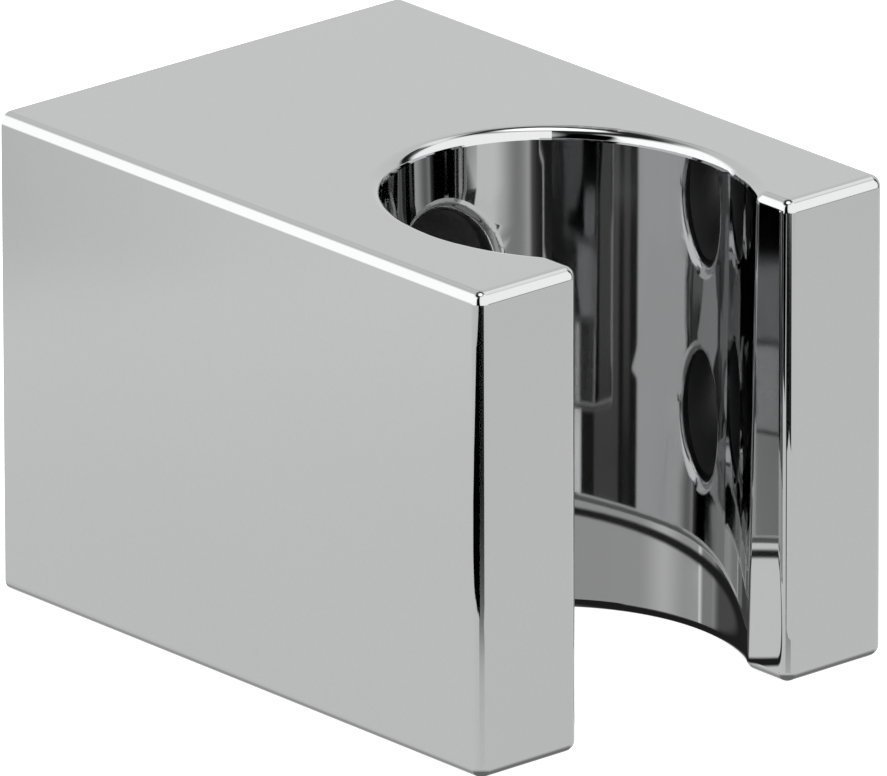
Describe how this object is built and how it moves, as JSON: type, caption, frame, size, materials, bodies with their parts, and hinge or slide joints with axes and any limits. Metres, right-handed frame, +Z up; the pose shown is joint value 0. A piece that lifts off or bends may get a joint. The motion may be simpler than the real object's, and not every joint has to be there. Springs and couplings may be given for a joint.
{
  "type": "hand shower holder",
  "caption": "Square chromed wall block with an upright tapered seat, open at the front through a slot, that holds a hand shower by the cone of its hose.",
  "frame": {"origin": "on the wall plane, at the middle of the wall face, midway between the two screw holes", "axes": "+Z up, +Y into the wall, the open front of the seat faces -Y, +X to the right as seen from the wall's room side"},
  "size_m": [0.04, 0.054, 0.038],
  "materials": {
    "chrome": "polished and chrome plated"
  },
  "bodies": {
    "root": {"holder_body": "chrome"}
  },
  "joints": []
}
